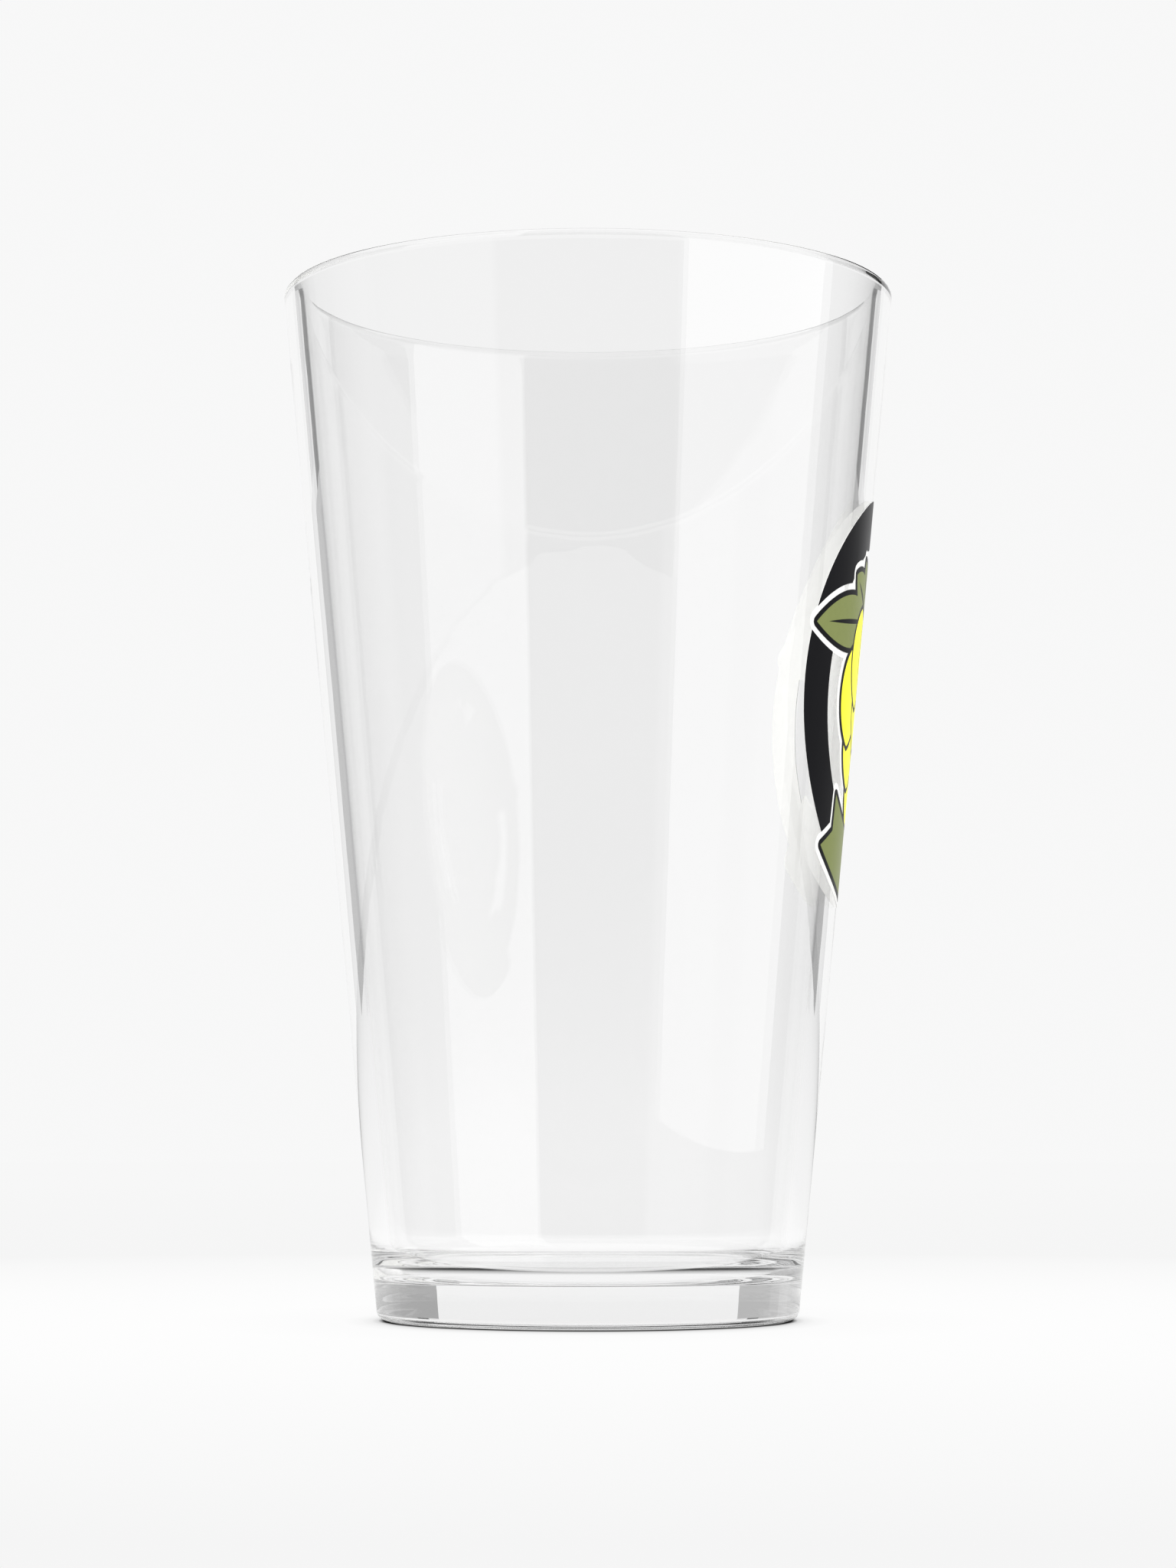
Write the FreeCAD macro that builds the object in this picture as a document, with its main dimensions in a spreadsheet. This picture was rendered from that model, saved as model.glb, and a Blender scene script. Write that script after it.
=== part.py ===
import FreeCAD, Part
import math
import os
import Sketcher

# A 16 oz shaker pint glass: one pressed soda-lime tumbler, and the fired ink films of a badge printed on its side.
# Millimetres, +Z up, origin on the axis at table level. The badge faces +X.
# The badge is drawn flat, as the printer's artwork, in millimetres: across is to the right of someone who faces
# the badge, up is along the wall, and (0, 0) is the badge's centre. It is then wrapped on to the tapered wall by
# angle, as a printing machine does that turns the glass against its screen.

V = FreeCAD.Vector

DIMENSIONS = [
    ("height", 149.2, "table to the top of the rim"),
    ("rim_radius", 44.45, "outside radius at the widest, where the rim's rounding starts"),
    ("base_radius", 30.2, "outside radius that the wall's line reaches at the table"),
    ("rim_wall", 2.8, "wall thickness at the rim, measured level"),
    ("rim_round", 1.15, "radius of both of the rim's fire-polished edges"),
    ("floor_height", 5.9, "table to the drinking floor"),
    ("floor_radius", 28.0, "inside radius that the inner wall's line reaches at that floor"),
    ("floor_round", 6.0, "radius between the floor and the inner wall"),
    ("heel_round", 1.5, "radius between the wall and the foot"),
    ("foot_inner_radius", 26.5, "inside radius of the flat ring that the glass stands on"),
    ("punt_depth", 0.6, "how far the underside rises at its centre"),
    ("film", 0.06, "thickness of each ink film"),
    ("badge_height", 89.6, "table to the badge's centre"),
    ("wrap_radius", 42.2, "radius of the roller that carries the artwork: the glass turns as far as it does"),
    ("ring_outer", 28.8, "outside radius of the badge's ring"),
    ("ring_inner", 21.8, "inside radius of the badge's ring"),
    ("outline", 0.75, "width of the black line round and inside the motifs"),
    ("keyline", 0.9, "width of the white line round the black one"),
    ("film_bottom", 52.0, "lowest height that the ink may cover"),
    ("film_top", 128.0, "highest height that the ink may cover"),
    ("prism_start", 15.0, "how far from the axis the artwork's prisms start"),
    ("prism_length", 35.0, "how long those prisms are"),
]

SLOPE = "(Sizes.rim_radius - Sizes.base_radius) / (Sizes.height - Sizes.rim_round)"


def make_sheet(doc):
    """The spreadsheet of driving dimensions, one row each: name, value, meaning."""
    sheet = doc.addObject("Spreadsheet::Sheet", "Sizes")
    for row, (name, value, meaning) in enumerate(DIMENSIONS, 1):
        sheet.set(f"A{row}", name)
        sheet.set(f"B{row}", str(value))
        sheet.set(f"C{row}", meaning)
        sheet.setAlias(f"B{row}", name)
    doc.recompute()
    return sheet


def edges_at(shape, radius, height):
    """The names of a turned shape's circular edges of that radius at that height."""
    near = 0.05
    found = []
    for number, edge in enumerate(shape.Edges, 1):
        if edge.Degenerated or not isinstance(edge.Curve, Part.Circle):
            continue
        if abs(edge.Curve.Radius - radius) < near and abs(edge.Curve.Center.z - height) < near:
            found.append(f"Edge{number}")
    return found


def profile_sketch(body, size):
    """Half of the glass's section, closed on the axis: foot, wall, rim, inner wall and floor."""
    sketch = body.newObject("Sketcher::SketchObject", "HalfSection")
    plane = next(f for f in body.Origin.OriginFeatures if f.Role == "XZ_Plane")
    sketch.AttachmentSupport = [(plane, "")]
    sketch.MapMode = "FlatFace"

    rim_corner = f"Sizes.base_radius + {SLOPE} * Sizes.height"
    corners = [  # (radius, height, radius expression, height expression)
        (0, size("punt_depth"), None, "Sizes.punt_depth"),
        (size("foot_inner_radius"), 0, "Sizes.foot_inner_radius", None),
        (size("base_radius"), 0, "Sizes.base_radius", None),
        (size("rim_radius"), size("height"), rim_corner, "Sizes.height"),
        (size("rim_radius") - size("rim_wall"), size("height"), f"{rim_corner} - Sizes.rim_wall", "Sizes.height"),
        (size("floor_radius"), size("floor_height"), "Sizes.floor_radius", "Sizes.floor_height"),
        (0, size("floor_height"), None, "Sizes.floor_height"),
    ]
    bowed = 0  # the edge across the underside
    last = len(corners) - 1
    for number, (radius, height, _, _) in enumerate(corners):
        start = V(radius, height, 0)
        if number == last:
            end = V(corners[0][0], corners[0][1], 0)
        else:
            end = V(corners[number + 1][0], corners[number + 1][1], 0)
        if number == bowed:
            middle = (start + end) / 2 + V(0, size("punt_depth") / 4, 0)
            sketch.addGeometry(Part.Arc(start, middle, end), False)
        else:
            sketch.addGeometry(Part.LineSegment(start, end), False)

    axis, origin_point = -2, 1
    ends = []  # (geometry, point at its start, point at its end), because an arc may run backwards
    for number, (radius, height, _, _) in enumerate(corners):
        starts_here = sketch.getPoint(number, 1).distanceToPoint(V(radius, height, 0)) < 1e-6
        ends.append((1, 2) if starts_here else (2, 1))
    for number in range(len(corners)):
        following = (number + 1) % len(corners)
        sketch.addConstraint(
            Sketcher.Constraint("Coincident", number, ends[number][1], following, ends[following][0])
        )
    for number, (radius, height, radius_words, height_words) in enumerate(corners):
        point = ends[number][0]
        if radius_words is None:
            sketch.addConstraint(Sketcher.Constraint("PointOnObject", number, point, axis))
        else:
            at = sketch.addConstraint(Sketcher.Constraint("DistanceX", -1, origin_point, number, point, radius))
            sketch.setExpression(f"Constraints[{at}]", radius_words)
        if height_words is None:
            sketch.addConstraint(Sketcher.Constraint("PointOnObject", number, point, -1))
        else:
            at = sketch.addConstraint(Sketcher.Constraint("DistanceY", -1, origin_point, number, point, height))
            sketch.setExpression(f"Constraints[{at}]", height_words)
    sketch.addConstraint(Sketcher.Constraint("PointOnObject", bowed, 3, axis))  # its centre lies on the axis
    return sketch


def glass_body(doc, size):
    """The tumbler: the half section turned round the axis, then its four corners rounded."""
    body = doc.addObject("PartDesign::Body", "GlassBody")
    body.Label = "glass_body"
    sketch = profile_sketch(body, size)
    turned = body.newObject("PartDesign::Revolution", "Turned")
    turned.Profile = sketch
    turned.ReferenceAxis = (sketch, ["V_Axis"])
    turned.Angle = 360
    doc.recompute()

    slope = (size("rim_radius") - size("base_radius")) / (size("height") - size("rim_round"))
    rim_corner = size("base_radius") + slope * size("height")
    roundings = [  # (name, size that sets its radius, corners as (radius, height))
        ("RimRound", "rim_round", [(rim_corner, size("height")), (rim_corner - size("rim_wall"), size("height"))]),
        ("FloorRound", "floor_round", [(size("floor_radius"), size("floor_height"))]),
        ("HeelRound", "heel_round", [(size("base_radius"), 0)]),
    ]
    solid = turned
    for name, radius_name, corners in roundings:
        names = [found for radius, height in corners for found in edges_at(solid.Shape, radius, height)]
        rounding = body.newObject("PartDesign::Fillet", name)
        rounding.Base = (solid, names)
        rounding.setExpression("Radius", f"Sizes.{radius_name}")
        doc.recompute()
        solid = rounding
    return body


def lens(bottom, top, width):
    """A flat leaf shape between two points: two equal arcs, with a point at each end."""
    along = top - bottom
    middle = (bottom + top) / 2
    side = V(-along.y, along.x, 0).normalize() * (width / 2)
    left = Part.Arc(bottom, middle + side, top).toShape()
    right = Part.Arc(top, middle - side, bottom).toShape()
    return Part.Face(Part.Wire([left, right]))


def disc(radius):
    return Part.Face(Part.Wire(Part.makeCircle(radius)))


def curved_band(half_width, low, high, centre_height):
    """A strip between two arcs round a centre above it, with a notch in each end."""
    outer, inner = centre_height - low, centre_height - high
    centre = V(0, centre_height, 0)
    turn = math.asin(half_width / ((outer + inner) / 2))

    def at(radius, angle):
        return centre + V(radius * math.sin(angle), -radius * math.cos(angle), 0)

    notch = 0.09  # radians that each notch reaches in
    left_notch = at((outer + inner) / 2, notch - turn)
    right_notch = at((outer + inner) / 2, turn - notch)
    return Part.Face(Part.Wire([
        Part.Arc(at(outer, -turn), at(outer, 0), at(outer, turn)).toShape(),
        Part.LineSegment(at(outer, turn), right_notch).toShape(),
        Part.LineSegment(right_notch, at(inner, turn)).toShape(),
        Part.Arc(at(inner, turn), at(inner, 0), at(inner, -turn)).toShape(),
        Part.LineSegment(at(inner, -turn), left_notch).toShape(),
        Part.LineSegment(left_notch, at(outer, -turn)).toShape(),
    ]))


def joined(shapes):
    """One flat region from several that may overlap."""
    faces = [face for shape in shapes for face in shape.Faces]
    if len(faces) == 1:
        return faces[0]
    pieces = faces[0].multiFuse(faces[1:])
    border = [edge for edge in pieces.Edges if len(pieces.ancestorsOfType(edge, Part.Face)) == 1]
    wires = [Part.Wire(edges) for edges in Part.sortEdges(border)]
    return Part.makeFace(wires, "Part::FaceMakerBullseye")


def grown(shapes, margin):
    """One flat region that reaches that far beyond the shapes' edges."""
    return joined([face.makeOffset2D(margin) for shape in shapes for face in shape.Faces])


def hop_scales():
    """The cone's scales as flat leaf shapes. Each lies over those that come after it."""
    scale_width, scale_height = 10.4, 14.4
    rows = [  # (height of the row's middle, places across)
        (5.2, (0.0, -6.8, 6.8)),
        (-0.7, (-3.8, 3.8, -11.2, 11.2)),
        (-6.6, (0.0, -7.9, 7.9)),
        (-12.0, (-4.0, 4.0)),
        (-14.2, (0.0,)),
    ]
    half = scale_height / 2
    return [lens(V(x, y - half, 0), V(x, y + half, 0), scale_width) for y, across in rows for x in across]


def leaf_lobes():
    """The three lobes of each of the two leaves, and the vein along each lobe."""
    plan = [(58, 9.8, 5.0), (26, 12.6, 6.3), (-6, 24.8, 7.6)]  # (degrees above level, length, width)
    lobes, veins = [], []
    for side in (-1, 1):
        stem = V(side * 2.2, 11.0, 0)
        for degrees, length, width in plan:
            turn = math.radians(degrees)
            along = V(side * math.cos(turn), math.sin(turn), 0) * length
            lobes.append(lens(stem, stem + along, width))
            veins.append(lens(stem + along * 0.12, stem + along * 0.86, 0.7))
    return lobes, veins


def artwork(size):
    """Every ink's flat region, by the name of its sub-part."""
    line = size("outline")

    scales = hop_scales()
    cells = [scales[0]]
    for place in range(1, len(scales)):
        cells.append(scales[place].cut([grown(scales[:place], line)]))
    hop_edge = grown(scales, line)
    ribbon = curved_band(17.4, -29.0, -19.8, 5.5)
    ribbon_edge = grown([ribbon], line)
    hop = joined(cells).cut([ribbon_edge])

    lobes, veins = leaf_lobes()
    leaves_edge = grown(lobes, line)
    stalk = lens(V(0, 10.0, 0), V(1.3, 20.6, 0), 1.5)
    leaves = joined([joined(lobes).cut([hop_edge, *veins]), stalk.cut([hop_edge, leaves_edge])])

    black_edge = joined([hop_edge, leaves_edge, grown([stalk], line), ribbon_edge])
    white_edge = grown([black_edge], size("keyline"))
    whole_ring = disc(size("ring_outer")).cut([disc(size("ring_inner"))])
    return {
        "print_white_base": joined([whole_ring, white_edge]),
        "print_black_ring": whole_ring.cut([white_edge]),
        "print_black_linework": black_edge.cut([hop, leaves, ribbon]),
        "print_yellow_hop_cone": hop,
        "print_olive_leaves": leaves,
        "print_olive_ribbon": ribbon,
    }


def wrapped(region, size):
    """The flat region as it looks square on once it lies round the wall, as faces in the plane X = prism_start."""
    slope = (size("rim_radius") - size("base_radius")) / (size("height") - size("rim_round"))
    rise = 1 / math.hypot(1, slope)

    def place(point):
        height = size("badge_height") + point.y * rise
        radius = size("base_radius") + slope * height
        return V(size("prism_start"), radius * math.sin(point.x / size("wrap_radius")), height)

    def wrapped_edge(edge):
        step = 2.0  # millimetres between the points that a curved edge is drawn through
        count = max(3, math.ceil(edge.Length / step) + 1)
        points = [place(point) for point in edge.discretize(Number=count)]
        curve = Part.BSplineCurve()
        if edge.isClosed():
            curve.interpolate(points[:-1], PeriodicFlag=True)
        else:
            curve.interpolate(points)
        return curve.toShape()

    faces = []
    for face in region.Faces:
        wires = [Part.Wire([wrapped_edge(edge) for edge in wire.OrderedEdges]) for wire in face.Wires]
        faces.append(Part.makeFace(wires, "Part::FaceMakerBullseye"))
    return Part.makeCompound(faces)


def wall_cone(doc, name, films):
    """A solid cone whose side is the outer wall, standing out by that many ink films."""
    cone = doc.addObject("Part::Cone", name)
    out = f"{films} * Sizes.film * sqrt(1 + ({SLOPE})^2)"
    cone.setExpression("Radius1", f"Sizes.base_radius + {SLOPE} * Sizes.film_bottom + {out}")
    cone.setExpression("Radius2", f"Sizes.base_radius + {SLOPE} * Sizes.film_top + {out}")
    cone.setExpression("Height", "Sizes.film_top - Sizes.film_bottom")
    cone.setExpression("Placement.Base.z", "Sizes.film_bottom")
    return cone


def film_between(doc, name, outer, inner):
    film = doc.addObject("Part::Cut", name)
    film.Base = outer
    film.Tool = inner
    return film


def ink(doc, name, region, film, size):
    """One ink: its artwork as a prism, and of that only what lies in its film."""
    words = "".join(word.capitalize() for word in name.split("_"))
    drawing = doc.addObject("Part::Feature", words + "Drawing")
    drawing.Shape = wrapped(region, size)
    prism = doc.addObject("Part::Extrusion", words + "Prism")
    prism.Base = drawing
    prism.DirMode = "Custom"
    prism.Dir = V(1, 0, 0)
    prism.Solid = True
    prism.setExpression("LengthFwd", "Sizes.prism_length")
    layer = doc.addObject("Part::Common", words)
    layer.Base = prism
    layer.Tool = film
    layer.Label = name
    return layer


def check(doc, parts):
    """Stops if anything failed to build, or if a sub-part isn't made of sound solids."""
    for thing in doc.Objects:
        if "Invalid" in thing.State or "Error" in thing.State:
            raise RuntimeError(f"{thing.Label} did not build: {thing.State}")
    for part in parts:
        shape = part.Shape
        if shape.isNull() or not shape.isValid() or not shape.Solids:
            raise RuntimeError(f"{part.Label} is not a sound solid")
        print(f"{part.Label}: {len(shape.Solids)} solids, {len(shape.Faces)} faces, {shape.Volume:.2f} mm3")


def main():
    doc = FreeCAD.newDocument("PintGlass")
    sheet = make_sheet(doc)

    def size(name):
        return float(sheet.get(name))

    parts = [glass_body(doc, size)]
    surfaces = [wall_cone(doc, f"WallPlus{films}Films", films) for films in range(3)]
    under_film = film_between(doc, "UnderFilm", surfaces[1], surfaces[0])
    colour_film = film_between(doc, "ColourFilm", surfaces[2], surfaces[1])
    for name, region in artwork(size).items():
        film = under_film if name == "print_white_base" else colour_film
        parts.append(ink(doc, name, region, film, size))
    doc.recompute()
    check(doc, parts)

    os.makedirs("parts", exist_ok=True)
    for part in parts:
        part.Shape.exportStep(os.path.join("parts", part.Label + ".step"))


main()
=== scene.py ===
import math

import bpy
from mathutils import Matrix, Vector


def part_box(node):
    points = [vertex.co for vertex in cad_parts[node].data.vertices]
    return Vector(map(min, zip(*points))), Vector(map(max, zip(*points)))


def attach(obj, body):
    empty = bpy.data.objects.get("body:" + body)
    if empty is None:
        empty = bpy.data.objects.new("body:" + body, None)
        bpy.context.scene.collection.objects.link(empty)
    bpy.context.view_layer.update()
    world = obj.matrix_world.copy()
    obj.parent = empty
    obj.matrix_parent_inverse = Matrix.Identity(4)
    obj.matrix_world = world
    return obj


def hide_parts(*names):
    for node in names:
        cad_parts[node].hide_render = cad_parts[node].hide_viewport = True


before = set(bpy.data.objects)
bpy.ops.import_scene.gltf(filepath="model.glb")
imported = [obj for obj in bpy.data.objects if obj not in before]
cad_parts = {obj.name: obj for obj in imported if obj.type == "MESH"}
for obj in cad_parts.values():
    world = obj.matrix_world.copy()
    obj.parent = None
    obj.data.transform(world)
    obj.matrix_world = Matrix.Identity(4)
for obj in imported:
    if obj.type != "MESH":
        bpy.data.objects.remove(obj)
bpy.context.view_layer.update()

# A shaker pint glass with a printed badge, in metres, +Z up, badge on +X, foot on z = 0.

MM = 0.001
GLASS_LOW, GLASS_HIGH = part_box("glass_body")

# The glass's section. The numbers are those of part.py.
HEIGHT = GLASS_HIGH.z
RIM_RADIUS = 44.45 * MM
BASE_RADIUS = 30.2 * MM
RIM_WALL = 2.8 * MM
RIM_ROUND = 1.15 * MM
FLOOR_HEIGHT = 5.9 * MM
FLOOR_RADIUS = 28.0 * MM
FLOOR_ROUND = 6.0 * MM
HEEL_ROUND = 1.5 * MM
FOOT_INNER_RADIUS = 26.5 * MM
PUNT_DEPTH = 0.6 * MM
SLOPE = (RIM_RADIUS - BASE_RADIUS) / (HEIGHT - RIM_ROUND)
RIM_CORNER = BASE_RADIUS + SLOPE * HEIGHT
INK_BITE = 0.02 * MM  # the glass stands this far into the ink, so no air shows between them

# How finely the glass is divided.
AROUND = 384  # sides of every turned shape
ARC_STEP = 6  # degrees between the points of a rounded corner
LONGEST_RUN = 2.2 * MM
UNDERSIDE_STEPS = 24


# ---------------------------------------------------------------- meshes

def mesh_object(name, vertices, faces, smooth=True):
    """A new object with that mesh, in the scene."""
    mesh = bpy.data.meshes.new(name)
    mesh.from_pydata(vertices, [], faces)
    mesh.update()
    mesh.polygons.foreach_set("use_smooth", [smooth] * len(mesh.polygons))
    piece = bpy.data.objects.new(name, mesh)
    bpy.context.scene.collection.objects.link(piece)
    return piece


def rounded(points, radii):
    """A polyline with each corner replaced by an arc of that radius (0 leaves it sharp)."""
    out = []
    for number, (point, radius) in enumerate(zip(points, radii)):
        here = Vector(point)
        if not radius:
            out.append(here)
            continue
        back = (Vector(points[number - 1]) - here).normalized()
        ahead = (Vector(points[number + 1]) - here).normalized()
        half = back.angle(ahead) / 2
        reach = radius / math.tan(half)
        centre = here + (back + ahead).normalized() * (radius / math.sin(half))
        start, end = here + back * reach - centre, here + ahead * reach - centre
        turn = start.angle(end)
        steps = max(4, math.ceil(math.degrees(turn) / ARC_STEP))
        for count in range(steps + 1):
            share = count / steps
            weight_start = math.sin((1 - share) * turn) / math.sin(turn)
            weight_end = math.sin(share * turn) / math.sin(turn)
            out.append(centre + start * weight_start + end * weight_end)
    return out


def divided(points, longest):
    """The same polyline with no run longer than that."""
    out = [points[0]]
    for start, end in zip(points, points[1:]):
        steps = max(1, math.ceil((end - start).length / longest))
        out += [start.lerp(end, count / steps) for count in range(1, steps + 1)]
    return out


def hollow(steps):
    """The underside from its centre out to the ring that the glass stands on: a shallow arc."""
    out = []
    for count in range(steps + 1):
        share = count / steps
        out.append(Vector((FOOT_INNER_RADIUS * share, PUNT_DEPTH * (1 - share ** 2))))
    return out


def glass_section():
    """Half of the section as (radius, height), from the underside's centre, out, up, over and down inside."""
    outside = rounded(
        [
            (FOOT_INNER_RADIUS, 0),
            (BASE_RADIUS + INK_BITE, 0),
            (RIM_CORNER + INK_BITE, HEIGHT),
            (RIM_CORNER - RIM_WALL, HEIGHT),
            (FLOOR_RADIUS, FLOOR_HEIGHT),
            (0, FLOOR_HEIGHT),
        ],
        [0, HEEL_ROUND, RIM_ROUND, RIM_ROUND, FLOOR_ROUND, 0],
    )
    return hollow(UNDERSIDE_STEPS) + divided(outside[1:], LONGEST_RUN)


def turned(name, section):
    """The section turned round the Z axis. A point on the axis becomes a single vertex."""
    on_axis = 1e-7
    vertices, faces, rings = [], [], []
    for radius, height in section:
        if radius < on_axis:
            rings.append([len(vertices)] * AROUND)
            vertices.append((0, 0, height))
            continue
        rings.append(list(range(len(vertices), len(vertices) + AROUND)))
        for side in range(AROUND):
            angle = 2 * math.pi * side / AROUND
            vertices.append((radius * math.cos(angle), radius * math.sin(angle), height))
    for lower, upper in zip(rings, rings[1:]):
        for side in range(AROUND):
            following = (side + 1) % AROUND
            corners = (lower[side], lower[following], upper[following], upper[side])
            faces.append(tuple(dict.fromkeys(corners)))
    return mesh_object(name, vertices, faces)


# ---------------------------------------------------------------- materials

def new_material(name):
    material = bpy.data.materials.new(name)
    material.use_nodes = True
    tree = material.node_tree
    return material, tree, tree.nodes["Principled BSDF"]


def glass_material():
    """Clear pressed glass: a slight ripple, and slightly darker the further light goes through it."""
    material, tree, shader = new_material("clear_glass")
    shader.inputs["Base Color"].default_value = (1, 1, 1, 1)
    shader.inputs["Transmission Weight"].default_value = 1
    shader.inputs["IOR"].default_value = 1.52
    shader.inputs["Roughness"].default_value = 0.0
    ripple = tree.nodes.new("ShaderNodeTexNoise")
    ripple.inputs["Scale"].default_value = 70
    ripple.inputs["Detail"].default_value = 2
    tree.links.new(tree.nodes.new("ShaderNodeTexCoord").outputs["Object"], ripple.inputs["Vector"])
    pressed = tree.nodes.new("ShaderNodeBump")
    pressed.inputs["Strength"].default_value = 0.12
    pressed.inputs["Distance"].default_value = 0.1 * MM
    tree.links.new(ripple.outputs["Fac"], pressed.inputs["Height"])
    tree.links.new(pressed.outputs["Normal"], shader.inputs["Normal"])
    depth = tree.nodes.new("ShaderNodeVolumeAbsorption")
    depth.inputs["Color"].default_value = (0.5, 0.5, 0.5, 1)
    depth.inputs["Density"].default_value = 1.8
    tree.links.new(depth.outputs["Volume"], tree.nodes["Material Output"].inputs["Volume"])
    return material


def ink_material(name, colour):
    """Fired ink: a fine mottle in its colour, and the same grain in its surface."""
    material, tree, shader = new_material(name)
    mottle = tree.nodes.new("ShaderNodeTexNoise")
    mottle.inputs["Scale"].default_value = 900
    mottle.inputs["Detail"].default_value = 4
    tree.links.new(tree.nodes.new("ShaderNodeTexCoord").outputs["Object"], mottle.inputs["Vector"])
    tint = tree.nodes.new("ShaderNodeMix")
    tint.data_type = "RGBA"
    tint.inputs["A"].default_value = (*[channel * 0.94 for channel in colour], 1)
    tint.inputs["B"].default_value = (*[min(1, channel * 1.05) for channel in colour], 1)
    tree.links.new(mottle.outputs["Fac"], tint.inputs["Factor"])
    tree.links.new(tint.outputs["Result"], shader.inputs["Base Color"])
    peel = tree.nodes.new("ShaderNodeBump")
    peel.inputs["Strength"].default_value = 0.15
    peel.inputs["Distance"].default_value = 0.02 * MM
    tree.links.new(mottle.outputs["Fac"], peel.inputs["Height"])
    tree.links.new(peel.outputs["Normal"], shader.inputs["Normal"])
    shader.inputs["Roughness"].default_value = 0.35
    shader.inputs["IOR"].default_value = 1.5
    shader.inputs["Specular IOR Level"].default_value = 0.06
    return material


def glow(name, strength):
    """A surface that only gives off white light."""
    material = bpy.data.materials.new(name)
    material.use_nodes = True
    tree = material.node_tree
    tree.nodes.clear()
    out = tree.nodes.new("ShaderNodeOutputMaterial")
    light = tree.nodes.new("ShaderNodeEmission")
    light.inputs["Color"].default_value = (1, 1, 1, 1)
    light.inputs["Strength"].default_value = strength
    tree.links.new(light.outputs["Emission"], out.inputs["Surface"])
    return material


# ---------------------------------------------------------------- the glass and its print

glass = turned("pint_glass_body", glass_section())
glass.data.materials.append(glass_material())
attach(glass, "root")
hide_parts("glass_body")
glass.visible_shadow = False  # light passes through to the ink on the far side

INK_COLOURS = {
    "white_ink": (0.7, 0.7, 0.685),
    "black_ink": (0.004, 0.004, 0.005),
    "yellow_ink": (0.95, 0.9, 0.03),
    "olive_ink": (0.165, 0.19, 0.066),
}
INK_OF_FILM = {
    "print_white_base": "white_ink",
    "print_black_ring": "black_ink",
    "print_black_linework": "black_ink",
    "print_yellow_hop_cone": "yellow_ink",
    "print_olive_leaves": "olive_ink",
    "print_olive_ribbon": "olive_ink",
}
inks = {slot: ink_material(slot, colour) for slot, colour in INK_COLOURS.items()}
for node, slot in INK_OF_FILM.items():
    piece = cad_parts[node]
    piece.data.materials.clear()
    piece.data.materials.append(inks[slot])


# ---------------------------------------------------------------- camera

CAMERA_DISTANCE = 566.8 * MM  # from the glass's axis
CAMERA_HEIGHT = 27.6 * MM
CAMERA_PITCH = 5.0  # degrees upwards
CAMERA_LENS = 89.9  # mm, on a sensor of 36 mm

scene = bpy.context.scene
camera = bpy.data.objects.new("camera", bpy.data.cameras.new("camera"))
scene.collection.objects.link(camera)
camera.data.sensor_width = 36
camera.data.lens = CAMERA_LENS
camera.data.clip_start = 0.01
camera.matrix_world = (
    Matrix.Translation((0, -CAMERA_DISTANCE, CAMERA_HEIGHT))
    @ Matrix.Rotation(math.pi / 2 + math.radians(CAMERA_PITCH), 4, "X")
)
scene.camera = camera
scene.view_settings.view_transform = "Standard"


# ---------------------------------------------------------------- studio

# The dome. Its brightness goes by direction from the glass's foot.
DOME_RADIUS = 2.5
DOME_STEP = 5  # degrees round
DOME_LEVELS = (-90, -45, -15, -5, 0, 10, 15, 90)  # degrees above level
BACKDROP_WIDER_FROM = 9  # degrees above level
ALL_ROUND = [  # (degrees clockwise from straight behind, brightness from there on near the floor, and higher)
    (-32, 0.935, 0.935), (32, 0.385, 0.82), (36, 0.385, 0.12), (41, 0.385, 0.385), (50, 0.41, 0.41),
    (56, 0.45, 0.45), (62, 0.5, 0.5), (90, 0.45, 0.45), (145, 0.12, 0.12), (215, 0.45, 0.45),
    (270, 0.55, 0.55), (300, 0.6, 0.6), (308, 0.53, 0.53), (314, 0.49, 0.49), (319, 0.49, 0.12),
    (324, 0.49, 0.82),
]
HIGH_UP = [(22, 0.04), (42, 0.9)]  # (degrees above level, brightness from there up)

# The softbox: an upright panel between two places on the floor.
SOFTBOX_NEAR = (82 * MM, -132 * MM)
SOFTBOX_FAR = (168 * MM, 3 * MM)
SOFTBOX_LOW = 6 * MM
SOFTBOX_HIGH = 340 * MM
SOFTBOX_BRIGHTNESS = 1.4

# The floor, in rings: (mm from the axis, brightness, mm further out in front, or behind if negative).
FLOOR_LEVEL = -0.08 * MM
# Painted contact shadow: darker rings of the floor's own glow under the foot and drawn forwards in front of
# it; no light casts it.
FOOT_SHADOW = [
    (0, 0.95, 0), (26.3, 0.92, 0), (27.6, 0.6, 0), (28.6, 0.3, 0), (28.8, 0.01, 0.6), (29.3, 0.01, 1.8),
    (29.7, 0.35, 2.2), (30.1, 0.7, 3), (31, 0.86, 5), (32.5, 0.93, 6.5), (35, 0.97, 7.5), (41, 0.975, 7),
]
# Painted pool of light: the floor glows brightest near the glass and a little less further out.
FLOOR_SEEN = [
    (60, 0.985, 0), (130, 0.975, 0), (250, 0.94, 0), (300, 0.915, 0), (600, 0.92, 0), (1300, 0.93, 0),
    (2490, 0.93, 0),
]
# Painted reflection of the floor: rings that only reflections see, a painted pool of light that darkens
# further out, stretched behind.
FLOOR_PAINTED_REFLECTION = [
    (125, 0.93, -60), (202, 0.82, -400), (270, 0.5, -1300), (370, 0.28, -1800), (554, 0.15, -1850),
    (2490, 0.12, 0),
]

# The lights on the ink, all aimed at a point inside the glass.
FILL_AIM = (0, 0, 0.08)
FILL_LIGHTS = [  # (name, place, size, power)
    ("fill_above", (0.1, -0.3, 1.2), 0.8, 12),
    ("fill_right", (0.9, -0.6, 0.4), 0.5, 6),
    ("fill_left", (-0.9, -0.5, 0.4), 0.5, 11),
]


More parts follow.
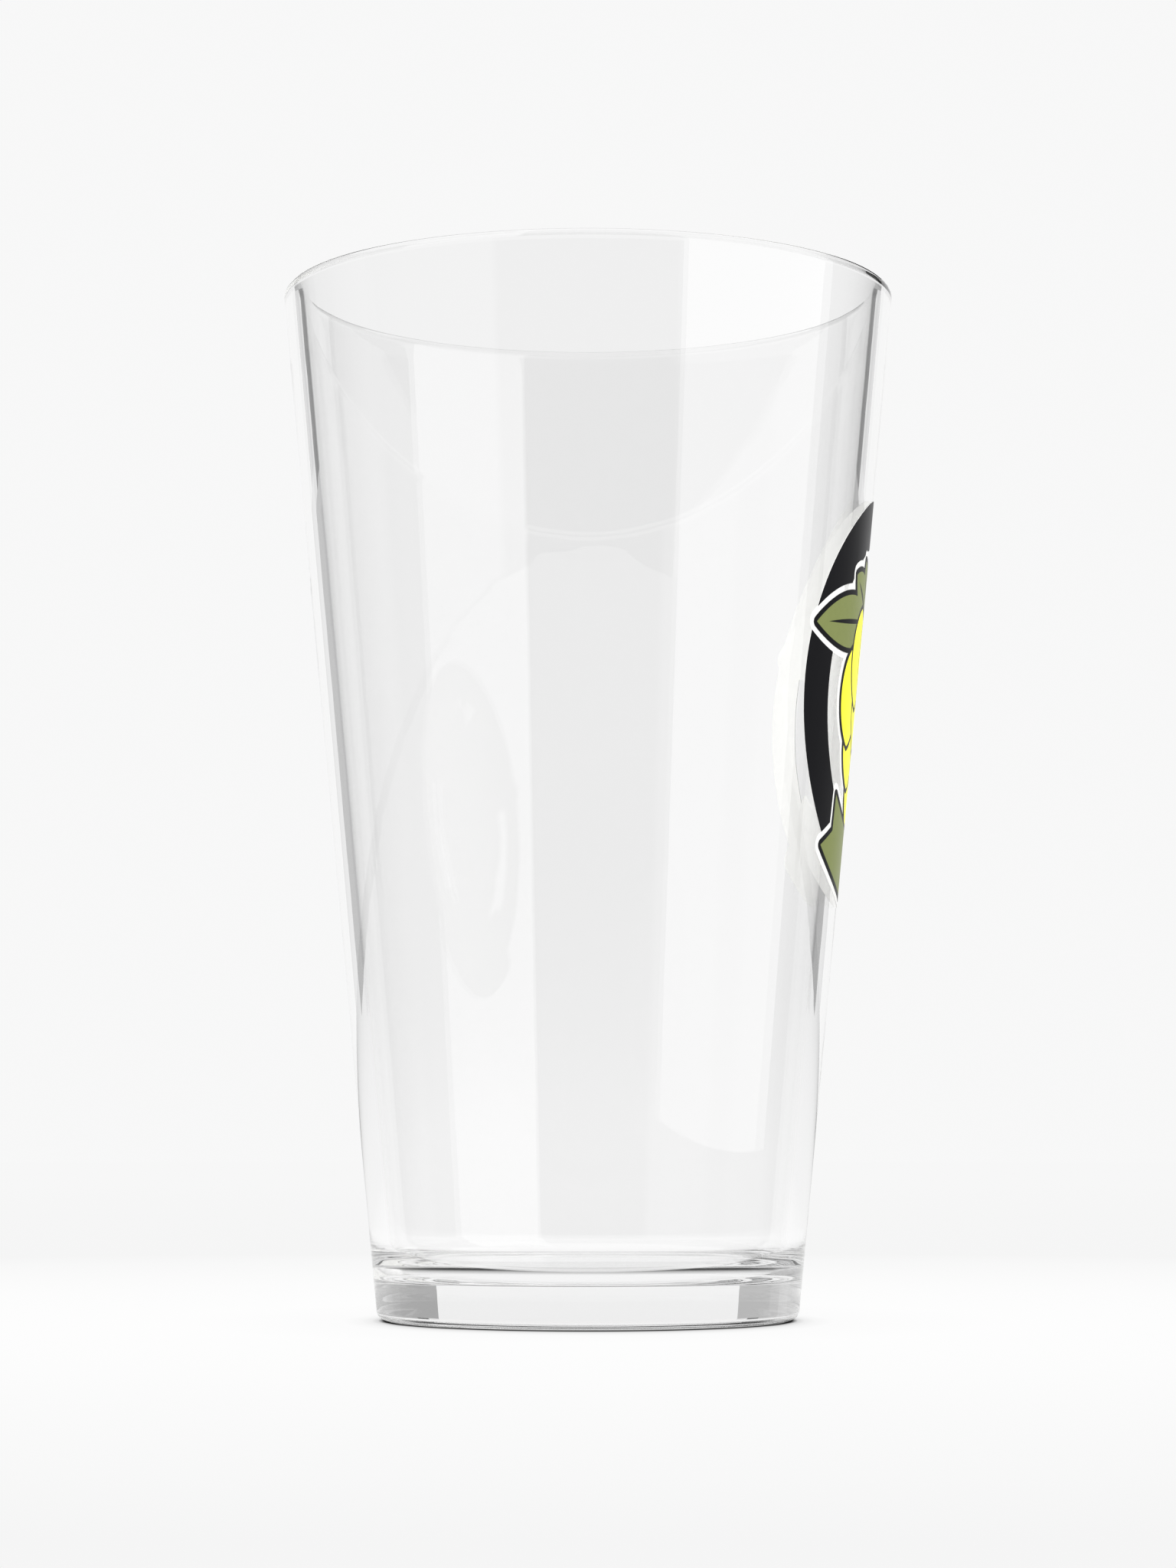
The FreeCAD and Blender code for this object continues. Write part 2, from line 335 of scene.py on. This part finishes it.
def stand():
    """What the studio is fixed to: it turns about the glass's axis to stay square to the camera."""
    holder = bpy.data.objects.new("studio_stand", None)
    scene.collection.objects.link(holder)
    facing = holder.constraints.new("LOCKED_TRACK")
    facing.target = camera
    facing.track_axis = "TRACK_NEGATIVE_Y"
    facing.lock_axis = "LOCK_Z"
    return holder


def dome_point(turn, level):
    """Where the dome is, that many degrees clockwise from straight behind and that many above level."""
    turn, level = math.radians(turn), math.radians(level)
    out = math.cos(level)
    return tuple(DOME_RADIUS * part for part in (math.sin(turn) * out, math.cos(turn) * out, math.sin(level)))


def dome_brightness(low, near_floor, higher):
    """The brightness of a patch of the dome that starts that many degrees above level."""
    strength = near_floor if low < BACKDROP_WIDER_FROM else higher
    for start, strength_above in HIGH_UP:
        if low >= start:
            strength = strength_above
    return strength


def dome(holder):
    """A shell round the scene: bright behind the glass, grey at the sides."""
    levels = sorted({*DOME_LEVELS, BACKDROP_WIDER_FROM, *[start for start, _ in HIGH_UP]})
    turns = [turn for turn, _, _ in ALL_ROUND]
    vertices, faces, strengths = [], [], []
    for (start, near_floor, higher), end in zip(ALL_ROUND, turns[1:] + [turns[0] + 360]):
        steps = max(1, round((end - start) / DOME_STEP))
        for step in range(steps):
            left, right = [start + (end - start) * count / steps for count in (step, step + 1)]
            for low, high in zip(levels, levels[1:]):
                first = len(vertices)
                corners = (left, low), (right, low), (right, high), (left, high)
                vertices += [dome_point(turn, level) for turn, level in corners]
                faces.append((first, first + 1, first + 2, first + 3))
                strengths.append(dome_brightness(low, near_floor, higher))
    shell = mesh_object("studio_dome", vertices, faces, smooth=False)
    kinds = sorted(set(strengths))
    for strength in kinds:
        shell.data.materials.append(glow(f"studio_glow_{round(strength * 1000)}", strength))
    slots = [kinds.index(strength) for strength in strengths]
    shell.data.polygons.foreach_set("material_index", slots)
    shell.parent = holder


def softbox(holder):
    """A tall panel close by on the right, seen only as the bright bands it makes in the glass."""
    corners = [
        (*SOFTBOX_NEAR, SOFTBOX_LOW),
        (*SOFTBOX_FAR, SOFTBOX_LOW),
        (*SOFTBOX_FAR, SOFTBOX_HIGH),
        (*SOFTBOX_NEAR, SOFTBOX_HIGH),
    ]
    panel = mesh_object("studio_softbox", corners, [(0, 1, 2, 3)], smooth=False)
    panel.data.materials.append(glow("studio_softbox_glow", SOFTBOX_BRIGHTNESS))
    panel.parent = holder
    panel.visible_camera = False
    panel.visible_shadow = False


def glowing_sheet(name, holder, vertices, faces, levels):
    """A level sheet just under the foot that glows, with a brightness at each vertex."""
    sheet = mesh_object(name, vertices, faces, smooth=False)
    layer = sheet.data.color_attributes.new("brightness", "FLOAT_COLOR", "POINT")
    layer.data.foreach_set("color", [value for level in levels for value in (level, level, level, 1)])
    material = glow(name, 1)
    tree = material.node_tree
    reader = tree.nodes.new("ShaderNodeAttribute")
    reader.attribute_name = "brightness"
    tree.links.new(reader.outputs["Color"], tree.nodes["Emission"].inputs["Color"])
    sheet.data.materials.append(material)
    sheet.location.z = FLOOR_LEVEL
    sheet.visible_shadow = False
    sheet.parent = holder
    return sheet


def round_sheet(name, holder, rings):
    """A glowing sheet made of rings."""
    vertices, faces, levels = [(0, 0, 0)], [], [rings[0][1]]
    for radius, level, bulge in rings[1:]:
        for side in range(AROUND):
            angle = 2 * math.pi * side / AROUND
            facing = max(0, -math.sin(angle) if bulge > 0 else math.sin(angle))
            reach = (radius + abs(bulge) * facing ** 2) * MM
            vertices.append((reach * math.cos(angle), reach * math.sin(angle), 0))
            levels.append(level)
    for side in range(AROUND):
        following = (side + 1) % AROUND
        faces.append((0, 1 + side, 1 + following))
        for ring in range(len(rings) - 2):
            inner, outer = 1 + ring * AROUND, 1 + (ring + 1) * AROUND
            faces.append((inner + side, outer + side, outer + following, inner + following))
    return glowing_sheet(name, holder, vertices, faces, levels)


def floor(holder):
    """The pale floor, its glow painted brightest near the glass as a pool of light, with a thin painted
    contact shadow drawn forwards as if by light from behind.
    """
    sheet = round_sheet("floor", holder, FOOT_SHADOW + FLOOR_SEEN)
    sheet.visible_glossy = False


def painted_floor_reflection(holder):
    """What the outside of the glass mirrors in place of the floor: a painted reflection, a painted pool of
    light that is dark further out, with the painted contact shadow by the foot.
    """
    sheet = round_sheet("painted_floor_reflection", holder, FOOT_SHADOW + FLOOR_PAINTED_REFLECTION)
    sheet.visible_camera = False
    sheet.visible_transmission = False
    sheet.visible_diffuse = False


def fill_light(holder, name, place, size, power):
    """A soft light that lights the ink and leaves no reflection of its own."""
    lamp = bpy.data.objects.new(name, bpy.data.lights.new(name, "AREA"))
    scene.collection.objects.link(lamp)
    lamp.data.size = size
    lamp.data.energy = power
    lamp.location = place
    lamp.rotation_euler = (Vector(FILL_AIM) - Vector(place)).to_track_quat("-Z", "Y").to_euler()
    lamp.parent = holder
    lamp.visible_camera = False
    lamp.visible_glossy = False
    lamp.visible_transmission = False


studio = stand()
dome(studio)
softbox(studio)
floor(studio)
painted_floor_reflection(studio)
for fill in FILL_LIGHTS:
    fill_light(studio, *fill)

# Light may cross the glass many times before it leaves.
scene.cycles.max_bounces = 64
scene.cycles.glossy_bounces = 64
scene.cycles.transmission_bounces = 64
scene.cycles.transparent_max_bounces = 8
scene.cycles.sample_clamp_indirect = 6
